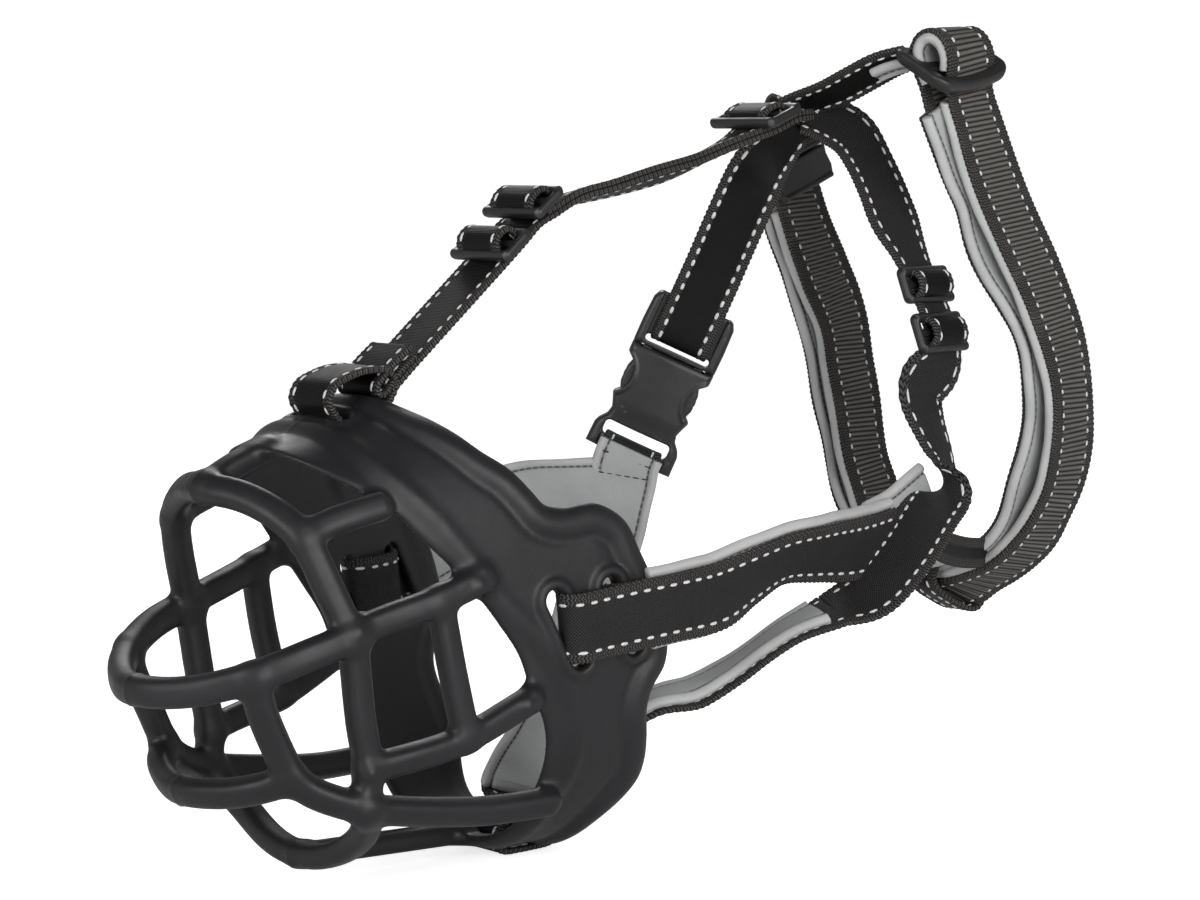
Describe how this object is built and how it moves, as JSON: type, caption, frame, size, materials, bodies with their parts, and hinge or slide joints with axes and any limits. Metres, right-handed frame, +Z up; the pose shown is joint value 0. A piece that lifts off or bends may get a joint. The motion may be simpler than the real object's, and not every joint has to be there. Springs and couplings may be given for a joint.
{
  "type": "basket muzzle",
  "caption": "Moulded basket muzzle with side slots, padded cheek and throat straps, a forehead strap with glides, a side-release head strap and a padded neck collar.",
  "frame": {"origin": "on the symmetry plane, under the rear rim of the basket, level with the small flat under the rim", "axes": "+X towards the back of the head, nose towards -X, +Z up, the animal left side is -Y"},
  "size_m": [0.3473, 0.125, 0.2436],
  "materials": {
    "moulded_silicone": "matte",
    "neoprene": "matte",
    "buckle_plastic": "satin",
    "ribbed_webbing": "woven",
    "webbing": "woven"
  },
  "bodies": {
    "harness": {"basket": "moulded_silicone", "buckle_socket": "buckle_plastic", "cheek_pad_left": "neoprene", "cheek_pad_right": "neoprene", "cheek_strap_left": "webbing", "cheek_strap_right": "webbing", "collar_buckle_socket": "buckle_plastic", "collar_fold": "ribbed_webbing", "collar_link": "webbing", "collar_pad_inner": "neoprene", "collar_pad_outer": "neoprene", "collar_strap_inner": "ribbed_webbing", "collar_strap_outer": "ribbed_webbing", "crown_glide": "buckle_plastic", "forehead_fold_glide": "buckle_plastic", "forehead_loop": "webbing", "forehead_strap_lower": "webbing", "forehead_strap_upper": "webbing", "keeper_loop": "webbing", "keeper_strap": "webbing", "nape_glide_lower": "buckle_plastic", "nape_strap_left": "webbing", "throat_loop": "webbing", "throat_pad_left": "neoprene", "throat_pad_right": "neoprene", "throat_strap": "webbing"},
    "buckle_plug_body": {"buckle_plug": "buckle_plastic", "nape_strap_right": "webbing"},
    "arm_front": {"release_arm_front": "buckle_plastic"},
    "arm_rear": {"release_arm_rear": "buckle_plastic"},
    "forehead_glide_body": {"forehead_glide": "buckle_plastic"},
    "nape_glide_body": {"nape_glide_upper": "buckle_plastic"},
    "collar_glide_body": {"collar_glide": "buckle_plastic"},
    "collar_plug_body": {"collar_buckle_plug": "buckle_plastic", "collar_top_strap": "webbing"}
  },
  "joints": [
    {"name": "buckle_release", "type": "slide", "parent": "harness", "child": "buckle_plug_body", "axis": [0.2589, -0.3299, 0.9078], "range_m": [0, 0.024], "deforming": ["nape_strap_right", "release_arm_front", "release_arm_rear"]},
    {"name": "arm_front_squeeze", "type": "hinge", "parent": "buckle_plug_body", "child": "arm_front", "pos_m": [0.10224, 0.04477, 0.14023], "axis": [-0.7201, -0.6923, -0.0462], "range_deg": [0, 7]},
    {"name": "arm_rear_squeeze", "type": "hinge", "parent": "buckle_plug_body", "child": "arm_rear", "pos_m": [0.11396, 0.03309, 0.13264], "axis": [-0.7201, -0.6923, -0.0462], "range_deg": [-7, 0]},
    {"name": "forehead_glide_slide", "type": "slide", "parent": "harness", "child": "forehead_glide_body", "axis": [0.7715, 0, 0.6363], "range_m": [-0.03, 0]},
    {"name": "nape_glide_slide", "type": "slide", "parent": "harness", "child": "nape_glide_body", "axis": [0.0465, -0.342, -0.9385], "range_m": [0, 0.003]},
    {"name": "collar_glide_slide", "type": "slide", "parent": "harness", "child": "collar_glide_body", "axis": [0.4202, 0, -0.9074], "range_m": [-0.002, 0.003]},
    {"name": "collar_buckle_release", "type": "slide", "parent": "harness", "child": "collar_plug_body", "axis": [-0.361, 0, 0.9326], "range_m": [0, 0.014], "deforming": ["collar_top_strap"]}
  ]
}
